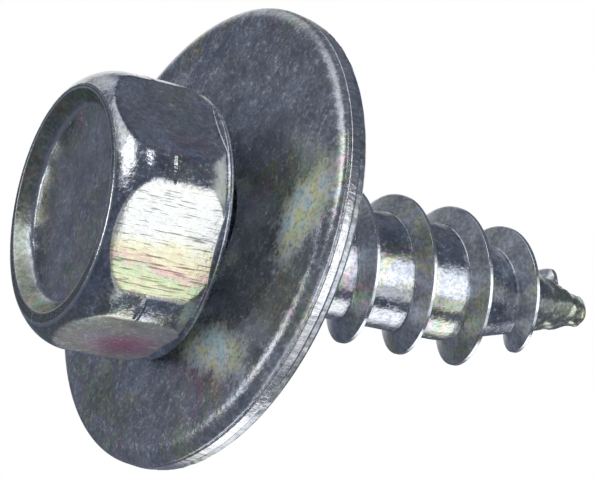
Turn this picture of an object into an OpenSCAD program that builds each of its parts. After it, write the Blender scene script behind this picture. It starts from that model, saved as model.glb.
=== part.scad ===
// Tapping screw for sheet metal, with an indented hex head and a loose washer caught on its neck.
// It stands on the rim of its head, with the screw's axis on Z and the point up.

/* [Thread] */
// Diameter over the thread's crests
thread_d = 6.3; // [6:0.05:7]
// Diameter of the core between the crests
core_d = 4.6; // [3.8:0.05:4.9]
// Distance from one crest to the next
pitch = 2.58; // [2:0.02:3.2]
// Width of the flat on a crest
crest_w = 0.14; // [0.08:0.02:0.3]
// Angle between the two flanks of the ridge
flank_angle = 50; // [40:2:60]
// Direction round the axis at which the ridge starts
thread_turn = 34; // [0:1:359]

/* [Shank] */
// Length from the underside of the head to the point
shank_l = 18.9; // [15:0.1:38]
// Length of the tapered point
point_l = 6.5; // [5.5:0.1:8]
// Diameter of the blunt end of the point
point_d = 1.3; // [0.7:0.05:1.5]
// Diameter of the plain neck under the head
neck_d = 4.75; // [4.4:0.05:4.9]

/* [Head] */
// Width across the flats of the hex
hex_flats = 10; // [9.9:0.05:10.3]
// Height of the head
head_h = 4.8; // [4.2:0.1:6]
// Diameter over the rounded corners of the hex
corner_d = 10.9; // [10.8:0.05:11.3]
// Diameter of the rim that the head stands on
rim_d = 9.35; // [9.2:0.05:9.6]
// Diameter of the thin round collar at the seat
collar_d = 10.5; // [10.3:0.05:10.7]
// Diameter of the dished recess in the top of the head
recess_d = 8.76; // [8.2:0.02:8.8]
// Distance of the punched recess from the screw's axis
recess_shift = 0.15; // [0:0.01:0.18]
// Direction round the axis in which the recess is shifted
recess_turn = 155; // [0:1:359]
// Depth of the recess
recess_depth = 0.65; // [0.5:0.05:1.3]
// Diameter of the recess's flat floor
recess_floor_d = 7.6; // [6:0.1:7.8]

/* [Washer] */
// Outside diameter of the washer
washer_d = 18.7; // [15:0.1:24]
// Thickness of the washer
washer_t = 1.3; // [0.9:0.05:1.6]
// Diameter of the hole, which the thread can't pass
hole_d = 5.6; // [5.5:0.05:5.9]
// Radius of the rounded edge on the face toward the head
edge_round = 0.45; // [0.3:0.05:0.5]
// Lean of the loose washer away from square
lean = 9.5; // [0:0.5:12]
// Direction round the axis in which the washer leans
lean_turn = 30; // [0:1:359]

/* [Hidden] */
$fn = 96;
eps = 0.01;

// Thread and core
thread_r = thread_d / 2;
core_r = core_d / 2;
facets_per_turn = 60;
// Depth by which the foot of the ridge is sunk in the core
sink = 0.14;
// Parts of a turn over which the ridge rises out of the neck and ends at the point
run_in = 0.45;
run_out = 0.06;
// Fall of the crest's radius for each millimetre along the point, down to its end
crest_slope = 0.5;
crest_end_r = 1.46;
// Length left bare at the end of the point
bare_tip = 1.6;

// Head
flat_r = hex_flats / 2;
corner_r = corner_d / 2;
rim_r = rim_d / 2;
recess_r = recess_d / 2;
recess_floor_r = recess_floor_d / 2;
floor_round = 0.17;
// Height, from the rim, over which the corners swell to their full radius
swell_h = 0.3 * head_h;
// Height, from the seat, over which the corners draw in again, and how far
draw_h = 0.25 * head_h;
draw_in = 0.52;
// Height of the rounding between the rim and a flat, and its depth at the rim
flat_start = 0.15 * head_h;
flat_drop = 0.12;
// Collar: its straight height, the slope that leads to it from the flats, and its rounded edge
collar_r = collar_d / 2;
collar_h = 0.24;
collar_slope = 0.15;
collar_foot = 0.1;
collar_round = 0.2;
seat_r = collar_r - collar_round;

// Places along the axis
tip_z = head_h + shank_l;
point_z = tip_z - point_l;
tip_round = 0.4;
neck_round = 0.4;
// How far the shank reaches into the head, so that the two are one solid
shank_root = 1;

// Washer: it leans until its face meets the rounded edge of the collar
washer_r = washer_d / 2;
hole_r = hole_d / 2;
hole_edge = 0.1;
seat_gap = 0.03;
face_z = head_h - collar_round + (collar_round + seat_gap) / cos(lean) + seat_r * tan(lean);
// The sheared edge: a fine groove, a smooth band and a rougher band set back a little
groove = 0.08;
groove_w = 0.12;
set_back = 0.05;
back_edge = 0.1;
band_end = 0.72 * washer_t;

// The thread starts where its foot clears the washer's back all the way round
start_gap = 0.06;
back_z = face_z + washer_t / cos(lean) + thread_r * tan(lean);
foot_half = crest_w / 2 + (thread_r - core_r + sink) * tan(flank_angle / 2);
neck_end = back_z + start_gap;
neck_step = 0.2;
thread_start = neck_end + foot_half;
thread_end = tip_z - bare_tip;
thread_turns = (thread_end - thread_start) / pitch;
thread_steps = ceil(thread_turns * facets_per_turn);

// Radius of the circle that leaves a line along the axis and draws in by `drop` over `rise`
function arc_radius(rise, drop) = (rise * rise + drop * drop) / (2 * drop);

// Radius of the core at height z
function core_at(z) =
    let (fall = (core_r - point_d / 2) / (point_l - tip_round))
    core_r - fall * max(0, z - point_z);

// Radius of the ridge's foot at height z, inside the core
function foot_at(z) = max(0.6 * core_at(z), core_at(z) - sink);

// Radius of the crest after u turns, which rises out of the neck and ends on the point
function crest_at(u) =
    let (z = thread_start + pitch * u)
    let (full = min(thread_r, crest_end_r + crest_slope * (thread_end - z)))
    let (rise = min(1, u / run_in, (thread_turns - u) / run_out))
    let (low = core_at(z) - sink / 2)
    low + (full - low) * sin(90 * rise);

// The four corners of the ridge's section after u turns, as radius and height
function ridge_section(u) =
    let (z = thread_start + pitch * u)
    let (crest = crest_at(u))
    let (half = crest_w / 2 + (crest - foot_at(z)) * tan(flank_angle / 2))
    [
        [foot_at(z - half), z - half],
        [crest, z - crest_w / 2],
        [crest, z + crest_w / 2],
        [foot_at(z + half), z + half]
    ];

// The corners of the section, turned to their place on the right-hand helix
function ridge_ring(u) =
    let (a = thread_turn + 360 * u)
    [for (p = ridge_section(u)) [p[0] * cos(a), p[0] * sin(a), p[1]]];

// One closed ridge that winds from the neck to the point
module ridge() {
    points = [for (i = [0:thread_steps]) each ridge_ring(thread_turns * i / thread_steps)];
    sides = [for (i = [0:thread_steps - 1]) for (k = [0:3])
        let (here = 4 * i, next = 4 * (i + 1), l = (k + 1) % 4)
        each [[here + k, here + l, next + k], [next + k, here + l, next + l]]];
    last = 4 * thread_steps;
    ends = [[0, 2, 1], [0, 3, 2], [last, last + 1, last + 2], [last, last + 2, last + 3]];
    polyhedron(points, concat(sides, ends));
}

// Neck, core and point, turned in one
module shank() {
    rotate_extrude()
    polygon([
        [0, head_h - shank_root],
        [neck_d / 2 + neck_round, head_h - shank_root],
        [neck_d / 2 + neck_round, head_h],
        [neck_d / 2, head_h + neck_round],
        [neck_d / 2, neck_end],
        [core_r, neck_end + neck_step],
        [core_r, point_z],
        [point_d / 2, tip_z - tip_round],
        [point_d / 3, tip_z - tip_round / 4],
        [point_d / 6, tip_z],
        [0, tip_z]
    ]);
}

// Outline of the swelling that rounds the corners of the hex, on one side of the axis
module swell_outline() {
    swell_radius = arc_radius(swell_h, corner_r - rim_r);
    draw_radius = arc_radius(draw_h, draw_in);
    square([corner_r - swell_radius, head_h]);
    translate([0, swell_h]) square([corner_r, head_h - swell_h - draw_h]);
    intersection() {
        translate([corner_r - swell_radius, swell_h]) circle(swell_radius);
        square([corner_r, swell_h + eps]);
    }
    intersection() {
        translate([corner_r - draw_radius, head_h - draw_h]) circle(draw_radius);
        translate([0, head_h - draw_h - eps]) square([corner_r, draw_h + eps]);
    }
}

// Outline of the collar between the flats and the seat, on one side of the axis
module collar_outline() {
    edge_z = head_h - collar_round;
    top_z = head_h - collar_h;
    polygon([
        [0, top_z - collar_slope],
        [flat_r - collar_foot, top_z - collar_slope],
        [collar_r, top_z],
        [collar_r, edge_z],
        [0, edge_z]
    ]);
    translate([0, top_z]) square([seat_r, collar_h]);
    translate([seat_r, edge_z]) circle(collar_round);
}

// Two opposite flats of the hex, rounded where they run up to the rim
module flat_pair() {
    radius = arc_radius(flat_start, flat_drop);
    width = 2 * hex_flats;
    rotate([90, 0, 0])
    translate([0, 0, -width / 2])
    linear_extrude(width) {
        translate([-flat_r, flat_start]) square([hex_flats, head_h]);
        translate([radius - flat_r, -eps]) square([hex_flats - 2 * radius, head_h]);
        for (side = [-1, 1])
            translate([side * (flat_r - radius), flat_start]) circle(radius);
    }
}

// Dished recess in the top of the head, punched a little off the axis
module recess() {
    rotate([0, 0, recess_turn])
    translate([recess_shift, 0, 0])
    rotate_extrude()
    polygon([
        [0, -1],
        [recess_r, -1],
        [recess_r, 0],
        [recess_floor_r + floor_round, recess_depth - floor_round],
        [recess_floor_r, recess_depth],
        [0, recess_depth]
    ]);
}

// Indented hex head with rounded corners and a collar
module head() {
    difference() {
        union() {
            intersection() {
                rotate_extrude() swell_outline();
                intersection_for (turn = [30, 90, 150])
                    rotate([0, 0, turn]) flat_pair();
            }
            rotate_extrude() collar_outline();
        }
        recess();
    }
}

// The screw: head, neck, thread and point in one piece of cold-formed steel
module screw() {
    color([0.42, 0.45, 0.5])
    union() {
        head();
        shank();
        ridge();
    }
}

// Section of the stamped washer, from its face at the head to its back
module washer_section() {
    groove_z = edge_round + groove_w / 2;
    inner_r = hole_r + hole_edge;
    outer_r = washer_r - edge_round;
    translate([inner_r, 0]) square([outer_r - inner_r, washer_t]);
    translate([outer_r, edge_round]) circle(edge_round);
    polygon([
        [hole_r, hole_edge],
        [inner_r, 0],
        [inner_r + hole_edge, 0],
        [inner_r + hole_edge, washer_t],
        [inner_r, washer_t],
        [hole_r, washer_t - hole_edge]
    ]);
    polygon([
        [outer_r - edge_round, edge_round],
        [washer_r, edge_round],
        [washer_r - groove, groove_z],
        [washer_r, groove_z + groove_w / 2],
        [washer_r, band_end],
        [washer_r - set_back, band_end + set_back / 2],
        [washer_r - set_back, washer_t - back_edge],
        [washer_r - set_back - back_edge, washer_t],
        [outer_r - edge_round, washer_t]
    ]);
}

// Loose washer, caught between the head and the thread
module washer() {
    color([0.36, 0.38, 0.44])
    rotate([0, 0, lean_turn])
    translate([0, 0, face_z])
    rotate([0, lean, 0])
    rotate_extrude() washer_section();
}

screw();
washer();
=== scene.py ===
# %% [markdown]
# A tapping screw for sheet metal, with an indented hex head and a loose washer on its neck.
# The solids give the true sizes: the screw stands on the rim of its head at z = 0, its axis is Z
# and its point is up. This lesson lays finer skins over those solids, plates them with zinc and
# sets up a small studio. Lengths below are in millimetres, and MM turns them into metres.

import math

import bpy
import numpy as np
from mathutils import Matrix, Vector


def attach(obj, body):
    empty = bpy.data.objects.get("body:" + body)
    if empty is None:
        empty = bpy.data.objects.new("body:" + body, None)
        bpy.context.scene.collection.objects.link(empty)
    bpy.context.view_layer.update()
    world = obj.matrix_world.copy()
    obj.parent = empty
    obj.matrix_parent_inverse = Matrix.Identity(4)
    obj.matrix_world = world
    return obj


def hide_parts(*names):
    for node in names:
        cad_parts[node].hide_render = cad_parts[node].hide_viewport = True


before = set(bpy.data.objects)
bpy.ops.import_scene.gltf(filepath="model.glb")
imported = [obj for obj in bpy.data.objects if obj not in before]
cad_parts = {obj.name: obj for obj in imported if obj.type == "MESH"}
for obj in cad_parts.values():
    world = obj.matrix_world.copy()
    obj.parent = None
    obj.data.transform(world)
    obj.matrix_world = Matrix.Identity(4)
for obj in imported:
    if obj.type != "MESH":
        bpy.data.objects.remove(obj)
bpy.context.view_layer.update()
MM = 0.001

# %% [markdown]
# Every piece here is a skin: a grid of points whose rows follow a profile or a path and whose
# columns run round it. Blender could spin or sweep a curve, but a grid worked out with numpy gives
# exact control of each row, so that narrow roundings get many rows and plain walls few.

# %% A skin from a grid of points
AROUND = 2 * math.pi


def skin(name, rings, start=None, end=None):
    """Makes a closed mesh from rings[row, column] in millimetres.

    Each column joins the next and the last joins the first. With start and end points the first
    and last rows close onto them in fans; without them the last row joins the first, as on a tube.
    """
    rows, columns = rings.shape[:2]
    number = np.arange(rows * columns).reshape(rows, columns)
    beside = np.roll(number, -1, axis=1)
    above = np.roll(number, -1, axis=0)
    above_beside = np.roll(beside, -1, axis=0)
    quads = np.stack([number, beside, above_beside, above], axis=-1)
    points = rings.reshape(-1, 3)
    fans = np.zeros((0, 3), int)
    if start is not None:
        quads = quads[:-1]
        first = len(points)
        points = np.concatenate([points, [start], [end]])
        opening = np.stack([np.full(columns, first), beside[0], number[0]], axis=-1)
        closing = np.stack([np.full(columns, first + 1), number[-1], beside[-1]], axis=-1)
        fans = np.concatenate([opening, closing])
    quads = quads.reshape(-1, 4)
    mesh = bpy.data.meshes.new(name)
    mesh.vertices.add(len(points))
    mesh.vertices.foreach_set("co", (points * MM).astype(np.float32).ravel())
    corners = np.concatenate([quads.ravel(), fans.ravel()])
    lengths = np.concatenate([np.full(len(quads), 4), np.full(len(fans), 3)])
    mesh.loops.add(len(corners))
    mesh.loops.foreach_set("vertex_index", corners.astype(np.int32))
    mesh.polygons.add(len(lengths))
    mesh.polygons.foreach_set("loop_start", (np.cumsum(lengths) - lengths).astype(np.int32))
    mesh.polygons.foreach_set("use_smooth", np.ones(len(lengths), bool))
    mesh.update()
    mesh.validate()
    piece = bpy.data.objects.new(name, mesh)
    bpy.context.scene.collection.objects.link(piece)
    print(name, len(points), "points,", len(quads) * 2 + len(fans), "triangles")
    return piece


# %% [markdown]
# Some finishes belong to one part of a piece only, such as the drawn lines on the flats. A mask
# stored on the points as an attribute tells the material where that part is, and it stays with the
# piece however it is turned.

# %% A mask on a piece's points
def mark(piece, name, values):
    """Stores one number between 0 and 1 for each point; the two closing points repeat the last."""
    flat = np.zeros(len(piece.data.vertices), np.float32)
    given = np.clip(values, 0, 1).ravel()
    flat[: len(given)] = given
    flat[len(given):] = given[-1]
    piece.data.attributes.new(name, "FLOAT", "POINT").data.foreach_set("value", flat)
    print(piece.name, "mask", name, "covers", round(float(flat.mean()), 3))


# %% [markdown]
# Forged and rolled steel has no knife edges: two surfaces that meet are always rounded into each
# other a little. A smooth minimum does that in one formula: far from the meeting line it is the
# smaller of the two values, and near it a small parabola joins them.

# %% Rounded meeting of two surfaces
def smooth_min(a, b, width):
    """The smaller of a and b, with a parabola of the given width where they cross."""
    share = np.clip(0.5 + 0.5 * (b - a) / width, 0, 1)
    return b + (a - b) * share - width * share * (1 - share)


def smooth_max(a, b, width):
    """The larger of a and b, rounded in the same way."""
    return -smooth_min(-a, -b, width)


def stations(*stretches):
    """Joins evenly spaced stretches (from, to, steps) into one row of parameter values."""
    rows = [np.linspace(first, last, steps, endpoint=False) for first, last, steps in stretches]
    return np.concatenate([*rows, [stretches[-1][1]]])


# %% [markdown]
# Plated steel is never perfectly even. A sum of sine waves with random directions gives a gentle,
# repeatable unevenness in the real surface, and the fine grain is left to the material.

# %% Gentle unevenness
def waves(points, length, seed, count=14):
    """Sum of sine waves of about the given length along random directions, held in -1 to 1."""
    chance = np.random.default_rng(seed)
    ways = chance.normal(size=(count, 3))
    ways /= np.linalg.norm(ways, axis=1, keepdims=True)
    rates = AROUND / (length * chance.uniform(0.7, 1.5, count))
    starts = chance.uniform(0, AROUND, count)
    total = np.sin(points @ (ways * rates[:, None]).T + starts).sum(axis=-1)
    return np.clip(total / math.sqrt(count), -1, 1)


# %% [markdown]
# The head is forged in a die. Its corners follow a round swelling that draws in towards the rim and
# towards the seat, six flats cut into that swelling, and a thin round collar is left at the seat. A
# faint ridge runs over the corners where the die parted. The head could be a cut cylinder with
# bevels, but the radius as one function of height and angle gives the curved outline of each flat
# by itself.

# %% Radius of the head's outside
HEAD_HIGH = 4.8
CORNER_R = 5.45
RIM_R = 4.675
FLAT_R = 5.0
SWELL_HIGH = 0.3 * HEAD_HIGH
DRAW_HIGH = 0.25 * HEAD_HIGH
DRAW_IN = 0.52
FLAT_START = 0.15 * HEAD_HIGH
FLAT_DROP = 0.12
FLAT_EDGE = 0.06
COLLAR_R = 5.25
COLLAR_HIGH = 0.24
COLLAR_SLOPE = 0.15
COLLAR_FOOT = 0.1
COLLAR_ROUND = 0.2
COLLAR_FILLET = 0.1
RIDGE_Z = 2.25
RIDGE_HIGH = 0.03
RIDGE_WIDE = 0.10
SEAT_R = COLLAR_R - COLLAR_ROUND
SIXTH = math.radians(60)


def drawn_in(height, start, rise, drop):
    """Depth of the circle that leaves a straight line at start and draws in by drop over rise."""
    radius = (rise * rise + drop * drop) / (2 * drop)
    past = np.clip(height - start, 0, rise)
    return radius - np.sqrt(radius * radius - past * past)


def collar_radius(z):
    """A slope that leads out from the flats, then a quarter circle that leads in to the seat."""
    foot = HEAD_HIGH - COLLAR_HIGH - COLLAR_SLOPE
    steep = (COLLAR_R - FLAT_R + COLLAR_FOOT) / COLLAR_SLOPE
    slope = FLAT_R - COLLAR_FOOT + steep * (z - foot)
    past = np.clip(z - HEAD_HIGH + COLLAR_ROUND, 0, COLLAR_ROUND)
    edge = SEAT_R + np.sqrt(COLLAR_ROUND**2 - past**2)
    return np.minimum(slope, edge)


def head_radius(angle, z):
    """The smaller of the swelling and a flat's distance over the cosine, or the collar if larger."""
    swelling = (
        CORNER_R
        - drawn_in(-z, -SWELL_HIGH, SWELL_HIGH, CORNER_R - RIM_R)
        - drawn_in(z, HEAD_HIGH - DRAW_HIGH, DRAW_HIGH, DRAW_IN)
    )
    flat = FLAT_R - drawn_in(-z, -FLAT_START, FLAT_START, FLAT_DROP)
    flat = flat / np.cos(np.mod(angle, SIXTH) - SIXTH / 2)
    collar = collar_radius(z) + 0 * angle
    radius = smooth_max(smooth_min(swelling, flat, FLAT_EDGE), collar, COLLAR_FILLET)
    inside_swelling = np.clip(0.5 + (swelling - flat) / FLAT_EDGE, 0, 1)
    on_flat = inside_swelling * np.clip((flat - collar) / COLLAR_FILLET, 0, 1)
    ridge = RIDGE_HIGH * np.exp(-(((z - RIDGE_Z) / RIDGE_WIDE) ** 2)) * (1 - on_flat)
    return np.minimum(radius, CORNER_R) + ridge, on_flat


# %% [markdown]
# The head's skin starts in the middle of the dished recess, runs out over its floor, up its wall to
# the rim, round the outside and in again under the seat. The recess was punched a little off the
# axis, so its rows are shifted. Rows lie close together at the roundings.

# %% Skin of the head
RECESS_DEEP = 0.65
FLOOR_R = 3.8
FLOOR_ROUND = 0.17
RECESS_R = 4.38
RECESS_OFF = 0.15
RECESS_TURN = math.radians(155)
FLOOR_WAVE_HIGH = 0.016
FLOOR_WAVE_LONG = 1.1
HEAD_COLUMNS = 600


def recess_profile():
    """Radius and height from the middle to the rim: a floor, a round corner, a straight wall."""
    wall_top = np.array([RECESS_R, 0.0])
    wall_foot = np.array([FLOOR_R + FLOOR_ROUND, RECESS_DEEP - FLOOR_ROUND])
    floor_r = stations((0.12, FLOOR_R - 0.15, 18))
    floor = np.stack([floor_r, np.full_like(floor_r, RECESS_DEEP)], axis=-1)
    way = stations((0.12, 1.0, 7))[:, None]
    bend = np.array([FLOOR_R + 0.03, RECESS_DEEP])
    corner = (1 - way) ** 2 * floor[-1] + 2 * way * (1 - way) * bend + way**2 * wall_foot
    climb = stations((0.1, 0.9, 10), (0.9, 0.98, 3))[:, None]
    wall = wall_foot + (wall_top - wall_foot) * climb
    return np.concatenate([floor, corner, wall])


inside = recess_profile()
lip = np.array([[RECESS_R + 0.02, 0.006], [RECESS_R + 0.05, 0.0]])
rim = np.array([[RIM_R - 0.05, 0.0], [RIM_R - 0.015, 0.006]])
shifted = len(inside) + len(lip)
round_edge = COLLAR_ROUND * np.sin(stations((0.1, 1.5, 9)))
edge_z = HEAD_HIGH - COLLAR_ROUND
side_z = stations((0.02, 0.3, 10), (0.3, 2.0, 25), (2.0, 2.5, 18), (2.5, 4.2, 23), (4.2, edge_z, 20))
outside_z = np.concatenate([side_z, edge_z + round_edge])
seat_r = np.array([SEAT_R - 0.02, SEAT_R - 0.12, 3.6, 2.6, 1.2])
angles = np.linspace(0, AROUND, HEAD_COLUMNS, endpoint=False)

outside_r, on_flat = head_radius(angles[None, :], outside_z[:, None])
turned = np.concatenate([inside, lip, rim])
head_r = np.concatenate([turned[:, :1] + 0 * angles, outside_r, seat_r[:, None] + 0 * angles])
head_z = np.concatenate([turned[:, 1], outside_z, np.full(len(seat_r), HEAD_HIGH)])
head_z = head_z[:, None] + 0 * head_r
head_rings = np.stack([head_r * np.cos(angles), head_r * np.sin(angles), head_z], axis=-1)
recess_middle = RECESS_OFF * np.array([math.cos(RECESS_TURN), math.sin(RECESS_TURN), 0.0])
head_rings[:shifted] += recess_middle


def on_rows(start, values):
    """A mask that is 0 except on the rows from start, which take the given values."""
    given = np.zeros_like(head_r)
    given[start : start + len(values)] = values
    return given


floor_mask = on_rows(0, np.clip((inside[:, 1:] / RECESS_DEEP - 0.1) / 0.5, 0, 1))
head_rings[..., 2] += FLOOR_WAVE_HIGH * floor_mask * waves(head_rings, FLOOR_WAVE_LONG, 3)
head = skin("head", head_rings, recess_middle + [0, 0, RECESS_DEEP], (0, 0, HEAD_HIGH))

# %% [markdown]
# Each finish on the head keeps to its own place: the recess and its wall, the crease round the
# floor, the rim, and the corners, which carry a painted highlight, pale and matt, where they meet
# the collar. The rows and columns of the grid already say where these are, so the masks are worked
# out and not painted by hand.

# %% Masks for the head's finishes
WALL_DEEP = 0.35
WALL_FADE = 0.2
CREASE_R = FLOOR_R + 0.06
CREASE_HALF = 0.07
# Height, half width and strength on each corner of the painted highlight by the collar.
HIGHLIGHT_Z = 4.08
HIGHLIGHT_HALF = 0.28
HIGHLIGHT_CORNERS = np.array([0.3, 0.6, 0.2, 0.1, 1.0, 0.1])

flat_mask = on_rows(len(turned), on_flat)
wall_mask = on_rows(0, np.clip(1 - (inside[:, 1:] - WALL_DEEP) / WALL_FADE, 0, 1))
crease_mask = on_rows(0, np.exp(-(((inside[:, :1] - CREASE_R) / CREASE_HALF) ** 2)))
rim_mask = on_rows(len(inside) - 2, np.ones((len(lip) + len(rim) + 4, 1)))
corner_number = np.round(angles / SIXTH).astype(int) % 6
# A painted highlight: a pale band round the corners just above the collar, strongest on one corner.
painted_highlight_mask = np.exp(-(((head_z - HIGHLIGHT_Z) / HIGHLIGHT_HALF) ** 2)) * (1 - flat_mask) * (head_r > FLAT_R)
painted_highlight_mask = painted_highlight_mask * HIGHLIGHT_CORNERS[corner_number]
flat_share = 0.5 + (np.mod(angles, SIXTH) - SIXTH / 2) / SIXTH + 0 * head_r
mark(head, "in_recess", floor_mask)
mark(head, "on_wall", wall_mask)
mark(head, "on_crease", crease_mask)
mark(head, "on_rim", rim_mask)
mark(head, "painted_highlight", painted_highlight_mask)
mark(head, "across_flat", flat_share)

# %% [markdown]
# The film on the flats has settled differently on each: one shows bands of straw, pink and green,
# one a single pink blush under a thin powder, and the others little. The lists give a strength for
# each of the six flats. A blush is its direction in degrees, its height and its two half widths.

# %% Bands and blushes on the flats
BANDED = np.array([0.25, 0.0, 0.35, 0.0, 1.0, 0.1])
BLUSHES = [(336, 3.1, 13, 1.3), (86, 2.4, 12, 0.9), (147, 3.0, 9, 0.8)]
POWDERED = np.array([0.2, 0.0, 0.1, 0.0, 0.0, 1.0])
DRAWN = np.array([0.6, 0.3, 0.6, 0.15, 1.0, 0.5])
flat_number = (np.mod(angles, AROUND) / SIXTH).astype(int)
blush_mask = np.zeros_like(head_r)
for middle, height, wide, high in BLUSHES:
    off_angle = np.mod(np.degrees(angles) - middle + 180, 360) - 180
    spot = np.exp(-((off_angle / wide) ** 2) - ((head_z - height) / high) ** 2)
    blush_mask = np.maximum(blush_mask, spot)
mark(head, "drawn", flat_mask * DRAWN[flat_number])
mark(head, "banded", flat_mask * BANDED[flat_number])
mark(head, "blushed", flat_mask * blush_mask)
settled = 0.4 + 0.6 * head_z / HEAD_HIGH
mark(head, "powdered", flat_mask * POWDERED[flat_number] * settled)

# %% [markdown]
# The shank is turned round one axis: a neck for the washer, the core that carries the thread, and a
# long taper that ends in a blunt, slightly torn point, left by the pinch dies.

# %% Skin of the shank
NECK_R = 2.375
NECK_ROUND = 0.4
CORE_R = 2.3
NECK_END = 7.5835
NECK_STEP = 0.2
TIP_Z = HEAD_HIGH + 18.9
POINT_LONG = 6.5
POINT_R = 0.65
TIP_ROUND = 0.4
POINT_Z = TIP_Z - POINT_LONG
SHANK_ROOT = 0.6
TORN_LONG = 2.9
TORN_HIGH = 0.05
TORN_LOSS = 0.03
SHANK_COLUMNS = 240


def core_radius(z):
    """Radius of the core: level, then falling straight along the point, with a soft bend between."""
    fall = (CORE_R - POINT_R) / (POINT_LONG - TIP_ROUND)
    return smooth_min(np.full_like(z, CORE_R), CORE_R - fall * (z - POINT_Z), 0.12)


shank_z = stations(
    (HEAD_HIGH - SHANK_ROOT, HEAD_HIGH, 3),
    (HEAD_HIGH, 5.3, 8),
    (5.3, NECK_END, 8),
    (NECK_END, 7.85, 8),
    (7.85, POINT_Z - 0.5, 60),
    (POINT_Z - 0.5, TIP_Z - TIP_ROUND, 110),
    (TIP_Z - TIP_ROUND, TIP_Z - 0.004, 18),
)
fillet = np.clip(NECK_ROUND - (shank_z - HEAD_HIGH), 0, NECK_ROUND)
neck = NECK_R + fillet * fillet / NECK_ROUND
step_share = np.clip((shank_z - NECK_END) / NECK_STEP, 0, 1)
shank_r = neck + (core_radius(shank_z) - neck) * step_share**2 * (3 - 2 * step_share)
tip_share = np.clip((shank_z - TIP_Z + TIP_ROUND) / TIP_ROUND, 0, 1)
shank_r = np.where(tip_share > 0, POINT_R * np.sqrt(np.clip(1 - tip_share**2.2, 0, 1)), shank_r)

shank_turn = np.linspace(0, AROUND, SHANK_COLUMNS, endpoint=False)
shank_grid = shank_r[:, None] + 0 * shank_turn[None, :]
shank_rings = np.stack([
    shank_grid * np.cos(shank_turn),
    shank_grid * np.sin(shank_turn),
    shank_z[:, None] + 0 * shank_grid,
], axis=-1)
torn = np.clip((shank_z - TIP_Z + TORN_LONG) / 1.5, 0, 1)[:, None] * np.clip(shank_grid / 0.5, 0, 1)
uneven = TORN_HIGH * waves(shank_rings, 0.7, 5) - TORN_LOSS
grow = 1 + torn * uneven / np.maximum(shank_grid, 0.2)
shank_rings[..., :2] *= grow[..., None]
shank = skin("shank", shank_rings, (0, 0, HEAD_HIGH - SHANK_ROOT), (0, 0, TIP_Z))
mark(shank, "at_point", np.clip((shank_z - TIP_Z + 3.9) / 2.5, 0, 1)[:, None] + 0 * shank_grid)

# %% [markdown]
# The thread is rolled: a ridge winds up the core on a right-hand helix, rises out of the neck and
# dies away on the point. A screw modifier could wind it, but not let it rise and die away, so its
# path is worked out first: for each step the height, the core's radius and the crest's radius.

# %% Path of the thread
THREAD_R = 3.15
PITCH = 2.58
CREST_HALF = 0.07
LEAN_OF_FLANK = math.tan(math.radians(25))
THREAD_TURN = math.radians(34)
SINK = 0.14
RUN_IN = 0.45
RUN_OUT = 0.06
CREST_SLOPE = 0.5
CREST_END_R = 1.46
FOOT_HALF = CREST_HALF + (THREAD_R - CORE_R + SINK) * LEAN_OF_FLANK
THREAD_START = NECK_END + FOOT_HALF
BARE_TIP = 1.6
THREAD_END = TIP_Z - BARE_TIP
THREAD_TURNS = (THREAD_END - THREAD_START) / PITCH
STEPS_PER_TURN = 220

steps = int(THREAD_TURNS * STEPS_PER_TURN)
turns = np.linspace(0, THREAD_TURNS, steps)
ridge_z = THREAD_START + PITCH * turns
ridge_core = core_radius(ridge_z)
full = np.minimum(THREAD_R, CREST_END_R + CREST_SLOPE * (THREAD_END - ridge_z))
rise = np.clip(np.minimum(turns / RUN_IN, (THREAD_TURNS - turns) / RUN_OUT), 0, 1)
crest = ridge_core - SINK / 2 + (full - ridge_core + SINK / 2) * np.sin(rise * math.pi / 2)
print("thread winds", round(THREAD_TURNS, 2), "turns in", steps, "steps")

# %% [markdown]
# The ridge's section is carried along that path. Both flanks lean 25 degrees, the crest is narrow and
# rounded, and a fillet leads each flank into the core. The underside is sunk in the core, so that the
# skin is closed and no gap shows at its foot.

# %% Skin of the thread
CREST_ROUND = 0.03
FOOT_ROUND = 0.07
FILLET_WIDE = 0.2
FOOT_DIP = 0.03
DIP_FROM = 0.85
SUNK = 0.22
BRIGHT_DEEP = 0.09
BRIGHT_FADE = 0.2
FLANK_FADE = 0.15


def ridge_section(crest, core, across):
    """Radius over the ridge: the crest less the distance past it over the lean, or the core."""
    past = np.maximum(np.abs(across) - CREST_HALF, 0)
    flank = smooth_min(crest - past / LEAN_OF_FLANK, crest + 0 * past, CREST_ROUND)
    return smooth_max(flank, core - 0.01, FOOT_ROUND)


side_share = stations((0.02, 0.12, 6), (0.12, 0.75, 14), (0.75, 1.0, 5))
across_share = np.concatenate([-side_share[::-1], [0.0], side_share])
half_wide = CREST_HALF + np.maximum(crest - ridge_core, 0.05) * LEAN_OF_FLANK + FILLET_WIDE
across = across_share[None, :] * half_wide[:, None]
local_core = core_radius(ridge_z[:, None] + across)
top_r = ridge_section(crest[:, None], local_core, across)
top_r = top_r - FOOT_DIP * np.clip((np.abs(across_share) - DIP_FROM) / (1 - DIP_FROM), 0, 1)
under_share = np.array([0.9, 0.0, -0.9])
under = under_share[None, :] * half_wide[:, None]
sunk_r = np.maximum(core_radius(ridge_z[:, None] + under) - SUNK, 0.1)
ring_r = np.concatenate([top_r, sunk_r], axis=1)
ring_z = ridge_z[:, None] + np.concatenate([across, under], axis=1)
ring_a = (THREAD_TURN + AROUND * turns)[:, None] + 0 * ring_r
thread_rings = np.stack([ring_r * np.cos(ring_a), ring_r * np.sin(ring_a), ring_z], axis=-1)
thread_rings = thread_rings[:, ::-1]
thread = skin("thread", thread_rings, thread_rings[0].mean(axis=0), thread_rings[-1].mean(axis=0))
above_core = ring_r - ridge_core[:, None]
crest_mask = np.clip(1 - (crest[:, None] - ring_r) / BRIGHT_DEEP, 0, 1)
crest_mask = crest_mask * np.clip(above_core / BRIGHT_FADE, 0, 1)
flank_mask = np.clip(above_core / FLANK_FADE, 0, 1) * (1 - crest_mask)
mark(thread, "on_crest", crest_mask[:, ::-1])
mark(thread, "on_flank", flank_mask[:, ::-1])

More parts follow.
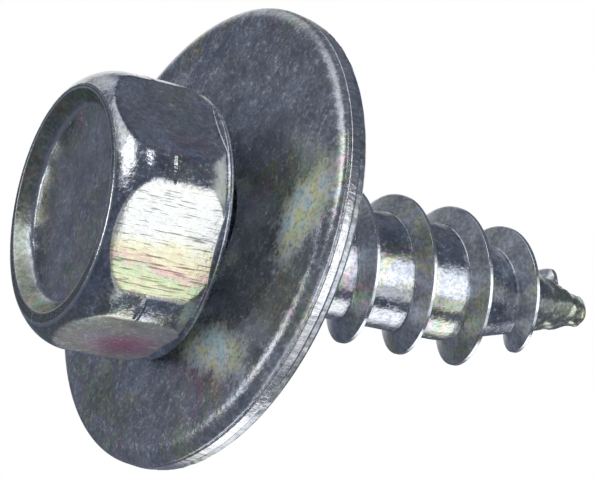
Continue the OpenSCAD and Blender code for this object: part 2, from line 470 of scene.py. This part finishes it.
# %% [markdown]
# The washer is stamped from sheet. The punch rolls the edge of the face over, shears a smooth band
# and then breaks the rest away, so its edge shows a roll, a fine crease, a band and a rougher, set
# back strip. A bevel could round the edge, but a section given point by point has all four.

# %% Section of the washer
WASHER_R = 9.35
WASHER_THICK = 1.3
HOLE_R = 2.8
HOLE_EDGE = 0.1
EDGE_ROUND = 0.45
ROLL_WIDE = 0.85
GROOVE = 0.08
GROOVE_WIDE = 0.12
SET_BACK = 0.05
BACK_EDGE = 0.1
BAND_END = 0.72 * WASHER_THICK


def washer_profile():
    """Radius and depth round the section: face, roll as a quarter ellipse, crease, band, back, hole."""
    outer = WASHER_R - ROLL_WIDE
    face_r = stations((HOLE_R + HOLE_EDGE + 0.05, outer, 44))
    face = np.stack([face_r, 0 * face_r], axis=-1)
    roll = stations((0.05, 1.0, 18)) * math.pi / 2
    edge = np.stack([outer + ROLL_WIDE * np.sin(roll), EDGE_ROUND * (1 - np.cos(roll))], axis=-1)
    crease = stations((0.12, 1.0, 9))[:, None]
    dip = GROOVE * np.sin(crease * math.pi) ** 2
    crease = np.concatenate([WASHER_R - dip, EDGE_ROUND + GROOVE_WIDE * crease], axis=-1)
    band_s = stations((EDGE_ROUND + GROOVE_WIDE + 0.05, BAND_END - 0.02, 8))
    band = np.stack([WASHER_R + 0 * band_s, band_s], axis=-1)
    strip_s = stations((BAND_END + 0.03, WASHER_THICK - BACK_EDGE, 7))
    strip = np.stack([WASHER_R - SET_BACK + 0 * strip_s, strip_s], axis=-1)
    back_r = stations((0.0, 1.0, 22))[:, None]
    back_from = np.array([WASHER_R - SET_BACK - BACK_EDGE, WASHER_THICK])
    back = back_from + (np.array([HOLE_R + HOLE_EDGE, WASHER_THICK]) - back_from) * back_r
    hole_s = stations((WASHER_THICK - HOLE_EDGE, HOLE_EDGE, 5))
    hole = np.stack([HOLE_R + 0 * hole_s, hole_s], axis=-1)
    hole_lip = np.array([[HOLE_R + 0.03, 0.03], [HOLE_R + HOLE_EDGE, 0.0]])
    return np.concatenate([face, edge, crease, band, strip, back, hole, hole_lip])


section = washer_profile()
print("washer's section", len(section), "points")

# %% [markdown]
# The section is turned round the washer's own axis, and the strip that broke away is made uneven.
# Then the whole is tipped and set on the edge of the collar, where the loose washer leans.

# %% Skin of the washer
LEAN = math.radians(9.5)
LEAN_TURN = math.radians(30)
SEAT_GAP = 0.03
REACH = (COLLAR_ROUND + SEAT_GAP) / math.cos(LEAN) + SEAT_R * math.tan(LEAN)
FACE_Z = HEAD_HIGH - COLLAR_ROUND + REACH
EDGE_DEEP = 0.12
EDGE_FADE = 0.06
STRIP_HIGH = 0.012
STRIP_FADE = 0.04
WASHER_COLUMNS = 640

washer_turn = np.linspace(0, AROUND, WASHER_COLUMNS, endpoint=False)
own = np.stack([
    section[:, :1] * np.cos(washer_turn),
    section[:, :1] * np.sin(washer_turn),
    section[:, 1:] + 0 * washer_turn,
], axis=-1)
on_edge = np.clip((section[:, 0] - WASHER_R + EDGE_DEEP) / EDGE_FADE, 0, 1)
on_edge = on_edge * (section[:, 1] > EDGE_ROUND)
rough_strip = on_edge * np.clip((section[:, 1] - BAND_END) / STRIP_FADE, 0, 1)
ragged = rough_strip[:, None] * STRIP_HIGH * (1 + waves(own, 0.5, 11))
own[..., :2] *= (1 - ragged / WASHER_R)[..., None]
tipped = np.array(Matrix.Rotation(LEAN, 3, "Y"))
faced = np.array(Matrix.Rotation(LEAN_TURN, 3, "Z"))
washer_rings = (own @ tipped.T + np.array([0, 0, FACE_Z])) @ faced.T
washer = skin("washer_disc", washer_rings)
mark(washer, "on_edge", on_edge[:, None] + 0 * washer_turn)
mark(washer, "rough_strip", rough_strip[:, None] + 0 * washer_turn)

# %% [markdown]
# On the washer's face are a few pale patches. Each is a soft ellipse in the washer's own frame:
# its middle, the direction of its long axis, its two half widths and its strength. Noise in the
# material makes its edge ragged later on.

# %% Pale patches on the washer
PATCHES = [
    (-5.7, -4.8, -20, 2.2, 1.3, 1.0),
    (0.9, -5.8, 56, 2.7, 1.0, 1.0),
    (4.5, 4.8, 30, 1.6, 0.9, 0.7),
    (-1.5, 6.5, 100, 1.0, 0.7, 0.4),
]
flat_face = section[:, 1:] < 0.5 * EDGE_ROUND
patch_mask = np.zeros(own.shape[:2])
for x, y, degrees, long_half, wide_half, strength in PATCHES:
    way_x = math.cos(math.radians(degrees))
    way_y = math.sin(math.radians(degrees))
    from_x = own[..., 0] - x
    from_y = own[..., 1] - y
    far_along = (from_x * way_x + from_y * way_y) / long_half
    far_across = (from_y * way_x - from_x * way_y) / wide_half
    spot = np.clip(1.4 - np.hypot(far_along, far_across), 0, 1)
    patch_mask = np.maximum(patch_mask, strength * spot * flat_face)
mark(washer, "pale_patch", patch_mask)

# %% [markdown]
# The solids move in a simulation: the screw is one body and the washer another. Each skin rides on
# the body that it belongs to and stands in for that body's solid.

# %% Skins ride on their bodies
for piece in (head, shank, thread):
    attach(piece, "screw")
    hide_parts("screw")
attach(washer, "washer")
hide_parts("washer")

# %% [markdown]
# The finishes are built from shader nodes. A material could be drawn by hand in the editor, but a few
# short helpers that each add one node and return its output read like a recipe, and the same recipe
# can be used for every piece.

# %% Node helpers
def put(tree, kind, inputs=None, **settings):
    """Adds a node; inputs maps a socket's name or number to a value or to another node's output."""
    made = tree.nodes.new(kind)
    for name, value in settings.items():
        setattr(made, name, value)
    for socket, value in (inputs or {}).items():
        if isinstance(value, bpy.types.NodeSocket):
            tree.links.new(value, made.inputs[socket])
        else:
            made.inputs[socket].default_value = value
    return made


def ramp(tree, factor, stops):
    """A soft colour ramp through (position, colour) stops."""
    made = put(tree, "ShaderNodeValToRGB", {0: factor})
    made.color_ramp.interpolation = "EASE"
    bar = made.color_ramp.elements
    while len(bar) < len(stops):
        bar.new(1.0)
    for stop, (place, colour) in zip(bar, stops):
        stop.position = place
        stop.color = (*colour, 1.0)
    return made.outputs["Color"]


def noise(tree, coordinates, size, detail=4.0, rough=0.55, twist=0.0):
    """Noise whose patches are about size millimetres across."""
    inputs = {"Vector": coordinates, "Scale": 1 / (size * MM), "Detail": detail}
    inputs.update({"Roughness": rough, "Distortion": twist})
    return put(tree, "ShaderNodeTexNoise", inputs).outputs["Fac"]


def between(tree, factor, low, high, to_low, to_high):
    """Carries factor from the range low to high onto to_low to to_high, held at the ends."""
    ends = {0: factor, 1: low, 2: high, 3: to_low, 4: to_high}
    return put(tree, "ShaderNodeMapRange", ends).outputs[0]


def sums(tree, kind, a, b):
    """One arithmetic step on two numbers."""
    return put(tree, "ShaderNodeMath", {0: a, 1: b}, operation=kind).outputs[0]


def blend(tree, kind, share, a, b):
    """One mixing step on two colours."""
    inputs = {"Factor": share, 6: a, 7: b}
    return put(tree, "ShaderNodeMix", inputs, data_type="RGBA", blend_type=kind).outputs[2]


def mask(tree, name):
    """The number stored on the piece's points under that name."""
    return put(tree, "ShaderNodeAttribute", attribute_name=name).outputs["Fac"]


def matt(level):
    """A roughness written as a grey, so that it can be blended like a colour."""
    return (level, level, level, 1)


# %% [markdown]
# The finish is bright zinc with a thin chromate film on it. The film is uneven, so its colour drifts
# between blue-grey, straw, green and pink, and under it the plated surface is finely mottled. All of
# it is made from noise on the piece's own coordinates, so it holds still from every side.

# %% Zinc plate
FILM = [
    (0.36, (0.56, 0.62, 0.74)),
    (0.46, (0.62, 0.66, 0.72)),
    (0.53, (0.72, 0.70, 0.52)),
    (0.58, (0.54, 0.70, 0.58)),
    (0.64, (0.72, 0.54, 0.64)),
    (0.72, (0.54, 0.61, 0.76)),
]
ZINC = (0.67, 0.715, 0.80)
METAL = 0.97


def zinc(name, film_size=2.6, seed_shift=0.0, tint=0.45):
    """Starts a zinc material: a cloudy, tinted colour on smooth metal with sparse matt specks."""
    material = bpy.data.materials.new(name)
    material.use_nodes = True
    tree = material.node_tree
    shader = tree.nodes["Principled BSDF"]
    shader.inputs["Metallic"].default_value = METAL
    place = put(tree, "ShaderNodeTexCoord").outputs["Object"]
    moved = put(tree, "ShaderNodeMapping", {"Vector": place, "Location": (seed_shift, 0, 0)}).outputs[0]
    film = noise(tree, moved, film_size, 2.0, 0.5, 0.6)
    zone = noise(tree, moved, 1.6 * film_size, 1.0, 0.5)
    cloud = noise(tree, moved, 1.2, 4.0, 0.6)
    mottle = noise(tree, moved, 0.42, 4.0, 0.6)
    grain = noise(tree, moved, 0.15, 3.0, 0.55)
    tint_share = between(tree, zone, 0.40, 0.62, 0.15 * tint, 1.8 * tint)
    colour = blend(tree, "MIX", tint_share, (*ZINC, 1), ramp(tree, film, FILM))
    clouded = between(tree, cloud, 0.35, 0.65, 0.76, 1.08)
    mottled = between(tree, mottle, 0.35, 0.65, 0.78, 1.06)
    grained = between(tree, grain, 0.36, 0.64, 0.74, 1.16)
    shade = sums(tree, "MULTIPLY", sums(tree, "MULTIPLY", clouded, mottled), grained)
    grey = put(tree, "ShaderNodeCombineColor", {0: shade, 1: shade, 2: shade}).outputs[0]
    colour = blend(tree, "MULTIPLY", 1.0, colour, grey)
    rise = sums(tree, "ADD", grain, sums(tree, "MULTIPLY", mottle, 0.5))
    specks = between(tree, rise, 0.86, 0.98, 0.0, 1.0)
    smooth = between(tree, cloud, 0.35, 0.65, 0.13, 0.21)
    rough = sums(tree, "ADD", smooth, sums(tree, "MULTIPLY", specks, 0.34))
    kit = dict(material=material, tree=tree, shader=shader, place=moved, colour=colour, rough=rough)
    kit.update(film=film, cloud=cloud, mottle=mottle, grain=grain)
    return kit


def relief(tree, height, depth, under=None):
    """A bump of the given depth in millimetres."""
    made = put(tree, "ShaderNodeBump", {"Height": height, "Strength": 1.0, "Distance": depth * MM})
    if under is not None:
        tree.links.new(under, made.inputs["Normal"])
    return made.outputs[0]


def finish(kit, colour, rough, normal):
    """Joins the last colour, roughness and relief to the shader."""
    tree, shader = kit["tree"], kit["shader"]
    tree.links.new(colour, shader.inputs["Base Color"])
    tree.links.new(rough, shader.inputs["Roughness"])
    tree.links.new(normal, shader.inputs["Normal"])
    print("material", kit["material"].name, len(tree.nodes), "nodes")
    return kit["material"]


# %% [markdown]
# The trimming die has drawn the flats smooth, with fine lines along the screw. The recess wall is
# more matt and tinted, and the rim and the crease are lighter, on the rim partly as a painted
# highlight along its edge. The corners carry a painted highlight, pale and matt, where they meet
# the collar. Masks mix all of these over the same zinc.

# %% Finish of the head
BANDS = [
    (0.44, (1.0, 1.0, 1.0)),
    (0.56, (1.0, 0.97, 0.78)),
    (0.63, (0.98, 0.88, 0.66)),
    (0.69, (0.94, 0.66, 0.66)),
    (0.75, (0.74, 0.86, 0.62)),
    (0.84, (0.86, 0.90, 0.62)),
    (0.92, (0.98, 0.90, 0.74)),
]
WALL_TINTS = [
    (0.36, (0.84, 0.86, 0.66)),
    (0.46, (1.0, 0.96, 0.72)),
    (0.54, (1.0, 0.78, 0.66)),
    (0.63, (0.72, 0.92, 0.62)),
]
BLUSH = (1.0, 0.42, 0.70, 1)
DRAWN_WHITE = (0.68, 0.695, 0.665, 1)
DASH = (0.26, 0.25, 0.24, 1)
# Pale colour of the painted highlights on the corners and the rim; the crease takes it too.
PALE_AND_HIGHLIGHT = (0.95, 0.99, 0.96, 1)
POWDER_METAL = 0.15


def head_colour(kit, drawn, wall, lines):
    """Zinc whitened on the flats, tinted by bands, blush and wall, and cut by dark dashes."""
    tree = kit["tree"]
    drift = noise(tree, kit["place"], 0.9, 3.0, 0.6)
    shift = between(tree, drift, 0.2, 0.8, -0.10, 0.10)
    across = sums(tree, "ADD", mask(tree, "across_flat"), shift)
    lined = sums(tree, "ADD", across, between(tree, lines, 0.3, 0.7, -0.06, 0.06))
    colour = blend(tree, "MIX", sums(tree, "MULTIPLY", drawn, 0.7), kit["colour"], DRAWN_WHITE)
    colour = blend(tree, "MULTIPLY", mask(tree, "banded"), colour, ramp(tree, lined, BANDS))
    colour = blend(tree, "MULTIPLY", mask(tree, "blushed"), colour, BLUSH)
    colour = blend(tree, "MULTIPLY", wall, colour, ramp(tree, kit["film"], WALL_TINTS))
    lower = between(tree, across, 0.40, 0.75, 0.0, 0.05)
    dashes = between(tree, sums(tree, "ADD", lines, lower), 0.58, 0.66, 0.0, 1.0)
    dashes = sums(tree, "MULTIPLY", dashes, drawn)
    colour = blend(tree, "MULTIPLY", sums(tree, "MULTIPLY", dashes, 0.8), colour, DASH)
    # The rim is lighter, partly as burnish and partly as a painted highlight along its rounded edge;
    # the crease round the floor is lightened with the same pale colour.
    edges = sums(tree, "MAXIMUM", mask(tree, "on_rim"), mask(tree, "on_crease"))
    return blend(tree, "MIX", sums(tree, "MULTIPLY", edges, 0.8), colour, PALE_AND_HIGHLIGHT)


def head_powder(tree, wall, painted_highlight):
    """Dried powder on the metal, and the corners' painted highlight: the largest of what each place
    has.
    """
    powder = sums(tree, "MAXIMUM", sums(tree, "MULTIPLY", mask(tree, "blushed"), 0.8), painted_highlight)
    powder = sums(tree, "MAXIMUM", powder, mask(tree, "powdered"))
    in_recess = sums(tree, "MULTIPLY", mask(tree, "in_recess"), 0.22)
    powder = sums(tree, "MAXIMUM", powder, in_recess)
    return sums(tree, "MAXIMUM", powder, sums(tree, "MULTIPLY", wall, 0.35))


def head_finish():
    """Zinc with drawn lines, bands and a blush on the flats, a tinted wall, lighter edges and painted
    highlights.
    """
    kit = zinc("zinc_head", 2.2, 0.0, 0.4)
    tree = kit["tree"]
    drawn = mask(tree, "drawn")
    wall = mask(tree, "on_wall")
    along = put(tree, "ShaderNodeMapping", {"Vector": kit["place"], "Scale": (1, 1, 0.07)})
    lines = noise(tree, along.outputs[0], 0.075, 3.0, 0.6)
    patchy = between(tree, kit["mottle"], 0.35, 0.55, 0.35, 1.0)
    # The corners' painted highlight: pale, matt and less metallic, broken up by the mottle.
    painted_highlight = sums(tree, "MULTIPLY", mask(tree, "painted_highlight"), patchy)
    colour = blend(tree, "MIX", painted_highlight, head_colour(kit, drawn, wall, lines), PALE_AND_HIGHLIGHT)
    drawn_rough = between(tree, mask(tree, "banded"), 0.0, 0.5, 0.36, 0.24)
    rough = blend(tree, "MIX", sums(tree, "MULTIPLY", drawn, 0.8), kit["rough"], drawn_rough)
    rough = blend(tree, "MIX", sums(tree, "MULTIPLY", wall, 0.8), rough, matt(0.30))
    rough = blend(tree, "MIX", painted_highlight, rough, matt(0.50))
    powder = head_powder(tree, wall, painted_highlight)
    metal = between(tree, powder, 0.0, 1.0, METAL, POWDER_METAL)
    tree.links.new(metal, kit["shader"].inputs["Metallic"])
    normal = relief(tree, kit["mottle"], 0.022)
    normal = relief(tree, kit["grain"], 0.007, normal)
    normal = relief(tree, sums(tree, "MULTIPLY", lines, drawn), 0.008, normal)
    return finish(kit, colour, rough, normal)


head.data.materials.append(head_finish())

# %% [markdown]
# The shank and the thread have the same zinc with a stronger film. Rolling leaves the flanks duller
# than the crest, which is burnished, and the film gathers straw-coloured on the torn point.

# %% Finish of the shank and thread
POINT_TINT = (0.98, 0.99, 0.70, 1)
FLANK_METAL = 0.72
CREST_BRIGHT = (0.80, 0.84, 0.90, 1)


def shank_finish():
    """Zinc that turns straw-coloured and rougher towards the torn point."""
    kit = zinc("zinc_shank", 1.5, 0.004, 0.6)
    tree = kit["tree"]
    point = mask(tree, "at_point")
    colour = blend(tree, "MULTIPLY", sums(tree, "MULTIPLY", point, 0.9), kit["colour"], POINT_TINT)
    normal = relief(tree, kit["mottle"], 0.026)
    normal = relief(tree, kit["grain"], 0.007, normal)
    rough = sums(tree, "ADD", kit["rough"], sums(tree, "MULTIPLY", point, 0.10))
    return finish(kit, colour, rough, normal)


def thread_finish():
    """Zinc with matt flanks and a bright, burnished crest."""
    kit = zinc("zinc_thread", 1.6, 0.004, 0.6)
    tree = kit["tree"]
    flank = mask(tree, "on_flank")
    patchy = between(tree, kit["mottle"], 0.3, 0.6, 0.4, 1.0)
    crest_share = sums(tree, "MULTIPLY", mask(tree, "on_crest"), patchy)
    colour = blend(tree, "MIX", sums(tree, "MULTIPLY", crest_share, 0.8), kit["colour"], CREST_BRIGHT)
    rough = blend(tree, "MIX", sums(tree, "MULTIPLY", flank, 0.8), kit["rough"], matt(0.36))
    metal = between(tree, flank, 0.0, 1.0, METAL, FLANK_METAL)
    tree.links.new(metal, kit["shader"].inputs["Metallic"])
    normal = relief(tree, kit["mottle"], 0.012)
    normal = relief(tree, kit["grain"], 0.006, normal)
    return finish(kit, colour, rough, normal)


shank.data.materials.append(shank_finish())
thread.data.materials.append(thread_finish())

# %% [markdown]
# The washer's faces are more mottled than the screw. The pale patches on the face are less metallic
# and more matt. The sheared edge has streaks across it, and the strip that broke away is rougher.

# %% Finish of the washer
WASHER_METAL = 0.8
SHEARED = (0.84, 0.85, 0.88, 1)
STREAK = (0.30, 0.31, 0.34, 1)
PATCH_TINTS = [
    (0.38, (0.70, 0.95, 1.0)),
    (0.48, (0.93, 1.0, 0.96)),
    (0.55, (0.92, 0.98, 0.52)),
    (0.64, (0.80, 0.98, 0.76)),
]


def ragged_patches(kit):
    """The patches' mask with its edge torn by cloud and mottle, and thinned by the grain."""
    tree = kit["tree"]
    patch = mask(tree, "pale_patch")
    torn = sums(tree, "ADD", patch, between(tree, kit["cloud"], 0.3, 0.7, -0.30, 0.30))
    torn = sums(tree, "ADD", torn, between(tree, kit["mottle"], 0.3, 0.7, -0.18, 0.18))
    pale = sums(tree, "MULTIPLY", between(tree, torn, 0.05, 0.65, 0.0, 1.0), patch)
    return sums(tree, "MULTIPLY", pale, between(tree, kit["grain"], 0.38, 0.52, 0.50, 1.0))


def washer_finish():
    """Zinc with pale patches on the face, and streaks across the sheared edge."""
    kit = zinc("zinc_washer", 2.6, 0.011, 0.5)
    tree = kit["tree"]
    strip = mask(tree, "rough_strip")
    edge = mask(tree, "on_edge")
    along = put(tree, "ShaderNodeMapping", {"Vector": kit["place"], "Scale": (1, 1, 0.12)})
    streaks = noise(tree, along.outputs[0], 0.16, 3.0, 0.6)
    pale = ragged_patches(kit)
    patch_noise = noise(tree, kit["place"], 1.0, 2.0, 0.5)
    colour = blend(tree, "MIX", pale, kit["colour"], ramp(tree, patch_noise, PATCH_TINTS))
    burnished = sums(tree, "MULTIPLY", edge, between(tree, strip, 0.0, 1.0, 0.75, 0.25))
    colour = blend(tree, "MIX", burnished, colour, SHEARED)
    streaked = sums(tree, "MULTIPLY", between(tree, streaks, 0.45, 0.65, 0.0, 0.45), edge)
    colour = blend(tree, "MULTIPLY", streaked, colour, STREAK)
    metal = between(tree, edge, 0.0, 1.0, WASHER_METAL, METAL)
    metal = sums(tree, "SUBTRACT", metal, sums(tree, "MULTIPLY", pale, 0.75))
    tree.links.new(metal, kit["shader"].inputs["Metallic"])
    normal = relief(tree, kit["mottle"], 0.026)
    normal = relief(tree, kit["grain"], 0.007, normal)
    normal = relief(tree, sums(tree, "MULTIPLY", streaks, edge), 0.012, normal)
    rough = sums(tree, "ADD", kit["rough"], between(tree, strip, 0.0, 1.0, 0.07, 0.16))
    rough = blend(tree, "MIX", pale, rough, matt(0.5))
    return finish(kit, colour, rough, normal)


washer.data.materials.append(washer_finish())

# %% [markdown]
# The photograph looks at the head from a little below its rim, with the screw lying across the
# frame. The camera stands where the part's outline falls on the photograph's outline, and a long
# lens keeps the sides nearly parallel.

# %% Camera
PHOTO_WIDE = 594
FOCAL_PIXELS = 3500
SENSOR = 36.0
VIEW_TURN = math.radians(-96.355)
VIEW_HEIGHT = math.radians(-26.305)
VIEW_ROLL = math.radians(-101.974)
AIM = np.array([0.0, 0.0, 9.0])
OFFSET_RIGHT = -1.129
OFFSET_DOWN = 0.3012
DISTANCE = 137.565

sight = -np.array([
    math.cos(VIEW_HEIGHT) * math.cos(VIEW_TURN),
    math.cos(VIEW_HEIGHT) * math.sin(VIEW_TURN),
    math.sin(VIEW_HEIGHT),
])
level = np.cross(sight, [0, 0, 1])
level /= np.linalg.norm(level)
plumb = np.cross(sight, level)
right = math.cos(VIEW_ROLL) * level + math.sin(VIEW_ROLL) * plumb
down = -math.sin(VIEW_ROLL) * level + math.cos(VIEW_ROLL) * plumb
stand = AIM - OFFSET_RIGHT * right - OFFSET_DOWN * down - DISTANCE * sight

camera = bpy.data.objects.new("camera", bpy.data.cameras.new("camera"))
camera.data.sensor_width = SENSOR
camera.data.lens = FOCAL_PIXELS / PHOTO_WIDE * SENSOR
camera.data.clip_start = 0.005
axes = Matrix([list(v) for v in np.stack([right, -down, -sight], axis=1)])
camera.matrix_world = Matrix.Translation(Vector(stand * MM)) @ axes.to_4x4()
bpy.context.scene.collection.objects.link(camera)
bpy.context.scene.camera = camera
print("camera at", camera.location, "lens", camera.data.lens)

# %% [markdown]
# The world is white to the camera and in reflections, and lights the part at half that level, so that
# the pale floor isn't burnt out. The photograph looks at the head from under its rim, so the floor is
# clear from below, and pale with a soft shadow from above.

# %% World and floor
WORLD_LIGHT = 0.5
FLOOR_GREY = (0.8, 0.8, 0.8, 1)
FLOOR_GLOW = (0.9, 0.9, 0.9, 1)
GLOW_SHARE = 0.55
FLOOR_HALF = 3000

scene = bpy.context.scene
scene.view_settings.view_transform = "Standard"
world = bpy.data.worlds.new("studio")
scene.world = world
world.use_nodes = True
sky = world.node_tree
sky.nodes.clear()
ray = put(sky, "ShaderNodeLightPath").outputs
seen = sums(sky, "MAXIMUM", ray["Is Camera Ray"], ray["Is Glossy Ray"])
seen = sums(sky, "MAXIMUM", seen, ray["Is Transmission Ray"])
plain = put(sky, "ShaderNodeBackground", {"Color": (1, 1, 1, 1), "Strength": WORLD_LIGHT})
white = put(sky, "ShaderNodeBackground", {"Color": (1, 1, 1, 1), "Strength": 1.0})
mixed = put(sky, "ShaderNodeMixShader", {0: seen, 1: plain.outputs[0], 2: white.outputs[0]})
put(sky, "ShaderNodeOutputWorld", {0: mixed.outputs[0]})


def card(name, corners, material):
    """A staged sheet from its four corners in millimetres."""
    mesh = bpy.data.meshes.new(name)
    mesh.from_pydata((np.asarray(corners) * MM).tolist(), [], [(0, 1, 2, 3)])
    sheet = bpy.data.objects.new(name, mesh)
    mesh.materials.append(material)
    scene.collection.objects.link(sheet)
    return sheet


def floor_material():
    """Pale from above, clear from below, so that a view from under the floor sees the head."""
    material = bpy.data.materials.new("pale_floor")
    material.use_nodes = True
    tree = material.node_tree
    tree.nodes.clear()
    pale = put(tree, "ShaderNodeBsdfDiffuse", {"Color": FLOOR_GREY})
    glow = put(tree, "ShaderNodeEmission", {"Color": FLOOR_GLOW, "Strength": 1.0})
    ray = put(tree, "ShaderNodeLightPath").outputs
    glow_share = sums(tree, "MULTIPLY", ray["Is Camera Ray"], GLOW_SHARE)
    lit = put(tree, "ShaderNodeMixShader", {0: glow_share, 1: pale.outputs[0], 2: glow.outputs[0]})
    clear = put(tree, "ShaderNodeBsdfTransparent")
    under = put(tree, "ShaderNodeNewGeometry").outputs["Backfacing"]
    both = put(tree, "ShaderNodeMixShader", {0: under, 1: lit.outputs[0], 2: clear.outputs[0]})
    put(tree, "ShaderNodeOutputMaterial", {0: both.outputs[0]})
    return material


floor_corners = FLOOR_HALF * np.array([(-1, -1, 0), (1, -1, 0), (1, 1, 0), (-1, 1, 0)])
floor = card("floor", floor_corners, floor_material())
floor.visible_glossy = False
floor.visible_shadow = False
print("floor", 2 * FLOOR_HALF, "mm wide, world", world.name)

# %% [markdown]
# A bright metal looks as dark or as light as what it mirrors. Round the part stands a dark tent, seen
# in reflections only, with soft windows in it. Through the windows the metal mirrors the white
# surroundings and the lamps. Each window is a direction as it appears in the photograph, a half width
# and a soft edge in degrees, and how clear it is.

# %% A dark tent with windows
CENTRE = np.array([0.0, 0.0, 10.0])
TENT_R = 170
TENT_ROWS = 90
TENT_COLUMNS = 180
POLE_GAP = 0.02
TENT_GREY = (0.098, 0.112, 0.152, 1)
WINDOWS = [
    ((0.74, -0.31, 0.60), 15, 6, 1.0),
    ((0.85, 0.11, 0.52), 12, 5, 1.0),
    ((0.13, -0.92, -0.36), 20, 4, 1.0),
    ((0.60, -0.70, 0.38), 8, 5, 1.0),
    ((0.12, -0.86, 0.50), 9, 5, 0.9),
    ((0.45, -0.48, 0.75), 9, 5, 1.0),
    ((0.10, -0.18, 0.98), 12, 5, 0.45),
    ((0.05, -0.58, 0.81), 10, 5, 0.55),
    ((-0.28, 0.74, 0.60), 12, 5, 1.0),
    ((-0.45, 0.62, 0.64), 9, 5, 1.0),
    ((-0.42, 0.84, 0.32), 12, 6, 1.0),
    ((-0.42, 0.90, 0.02), 12, 6, 0.8),
    ((-0.38, 0.72, -0.58), 10, 6, 0.6),
    ((0.41, 0.79, -0.45), 10, 8, 0.05),
    ((-0.74, 0.14, -0.66), 8, 7, 0.07),
    ((-0.975, 0.19, 0.02), 8, 4, 1.0),
    ((0.47, 0.70, 0.53), 4, 2, 1.0),
    ((-0.06, -0.65, -0.76), 14, 8, 0.06),
    ((0.95, -0.15, -0.10), 10, 8, 0.4),
    ((-0.20, 0.25, -0.95), 16, 8, 1.0),
    ((0.45, 0.10, -0.90), 12, 6, 1.0),
]


def in_photo(rightward, upward, nearer):
    """A direction given as it appears in the photograph, in the part's frame."""
    way = rightward * right - upward * down - nearer * sight
    return way / np.linalg.norm(way)


def window_share(ways, windows):
    """For each way, the clearest window there: clear in its half width, closing over its soft edge."""
    share = np.zeros(ways.shape[:-1])
    for middle, wide, soft, clear in windows:
        off = np.degrees(np.arccos(np.clip(ways @ in_photo(*middle), -1, 1)))
        share = np.maximum(share, clear * np.clip((wide + soft - off) / soft, 0, 1))
    return share


def tent_material():
    """Dark grey where the window mask is 0, clear where it is 1."""
    material = bpy.data.materials.new("dark_tent")
    material.use_nodes = True
    tree = material.node_tree
    tree.nodes.clear()
    grey = put(tree, "ShaderNodeEmission", {"Color": TENT_GREY, "Strength": 1.0})
    clear = put(tree, "ShaderNodeBsdfTransparent")
    window = mask(tree, "window")
    both = put(tree, "ShaderNodeMixShader", {0: window, 1: grey.outputs[0], 2: clear.outputs[0]})
    put(tree, "ShaderNodeOutputMaterial", {0: both.outputs[0]})
    return material


tilt = np.linspace(POLE_GAP, math.pi - POLE_GAP, TENT_ROWS)[:, None]
round_tent = np.linspace(0, AROUND, TENT_COLUMNS, endpoint=False)[None, :]
tent_ways = np.stack([
    np.sin(tilt) * np.cos(round_tent),
    np.sin(tilt) * np.sin(round_tent),
    np.cos(tilt) + 0 * round_tent,
], axis=-1)
tent = skin("tent", CENTRE + TENT_R * tent_ways, CENTRE + [0, 0, TENT_R], CENTRE - [0, 0, TENT_R])
mark(tent, "window", window_share(tent_ways, WINDOWS))
tent.data.materials.append(tent_material())
tent.visible_camera = False
tent.visible_diffuse = False
tent.visible_shadow = False
tent.visible_transmission = False
print("tent with", len(WINDOWS), "windows")

# %% [markdown]
# Five square lamps stand behind windows of the tent: a key, three fills and a small glint for the
# ridge on one corner. In a reflection a lamp's own light adds to the white behind it, so their levels
# stay near 1. Only the glint is brighter, because it is small.

# %% Lamps
LAMP_FAR = 190


def lamp(name, way, size, level):
    """A square soft lamp that faces the part; its power is pi times its level times its area."""
    data = bpy.data.lights.new(name, "AREA")
    data.size = size * MM
    data.energy = level * math.pi * (size * MM) ** 2
    bulb = bpy.data.objects.new(name, data)
    bulb.location = Vector((CENTRE + way * LAMP_FAR) * MM)
    bulb.rotation_mode = "QUATERNION"
    bulb.rotation_quaternion = Vector(-way).to_track_quat("-Z", "Y")
    bulb.visible_camera = False
    scene.collection.objects.link(bulb)
    return bulb


lamp("key", in_photo(0.79, -0.15, 0.56), 145, 0.8)
lamp("fill_side", in_photo(-0.975, 0.19, 0.02), 50, 1.2)
lamp("fill_top", in_photo(-0.34, 0.70, 0.62), 80, 1.3)
lamp("fill_low", in_photo(0.16, -0.94, -0.28), 100, 0.65)
lamp("glint", in_photo(0.47, 0.70, 0.53), 25, 4.0)
